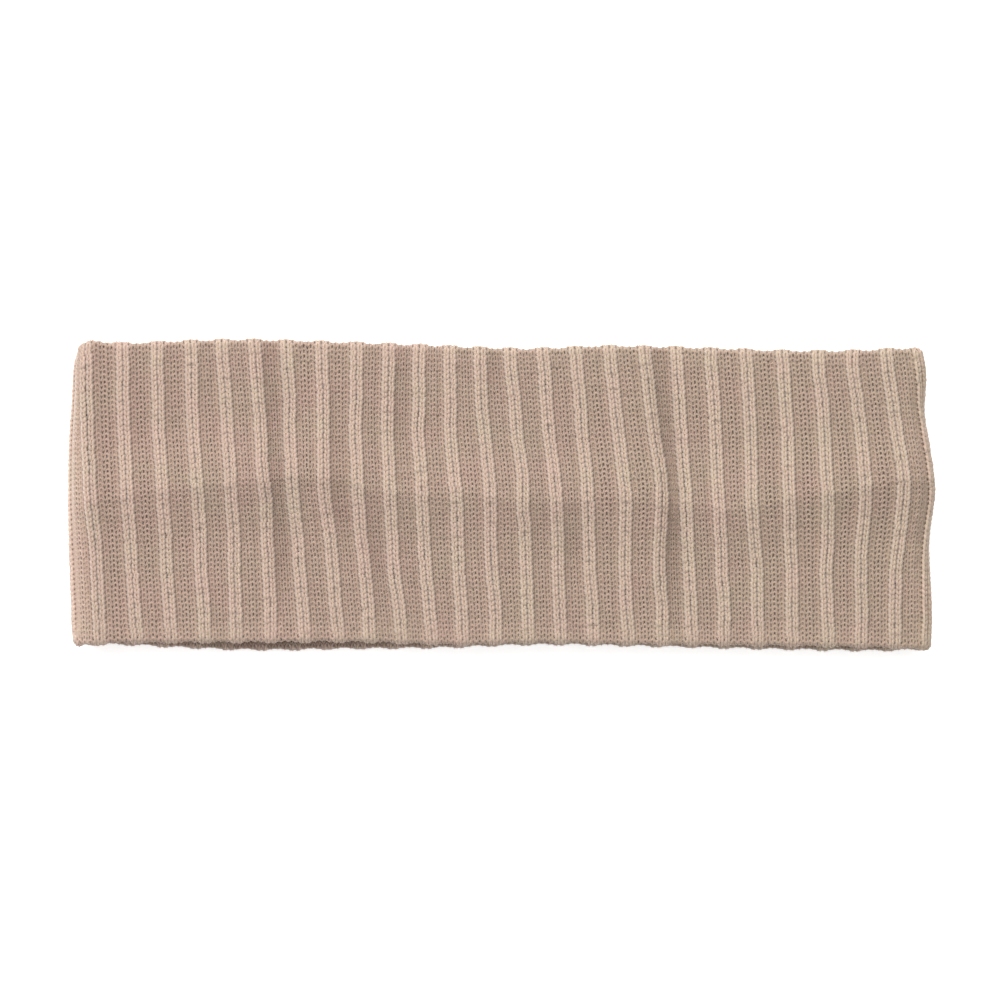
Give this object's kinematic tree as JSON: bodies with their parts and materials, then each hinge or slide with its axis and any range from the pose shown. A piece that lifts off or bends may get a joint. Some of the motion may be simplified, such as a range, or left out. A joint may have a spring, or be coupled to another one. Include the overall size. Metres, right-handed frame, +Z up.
{
  "type": "knitted ear warmer headband",
  "caption": "Wide rib-knit loop worn round the head over the ears, lying flat: front wall over back wall, a soft fold at each end and an open hollow between.",
  "frame": {"origin": "on the surface that the band lies on, under the middle of its footprint", "axes": "+X along the band, from the left fold to the right; +Y from its foot edge to its top edge; +Z up from the surface"},
  "size_m": [0.2402, 0.0878, 0.014],
  "materials": {
    "rib_knit_wool": "soft hairy wool-blend yarn in a warm beige heather, knitted in a wide rib"
  },
  "bodies": {
    "root": {"knit_band": "rib_knit_wool"}
  },
  "joints": []
}
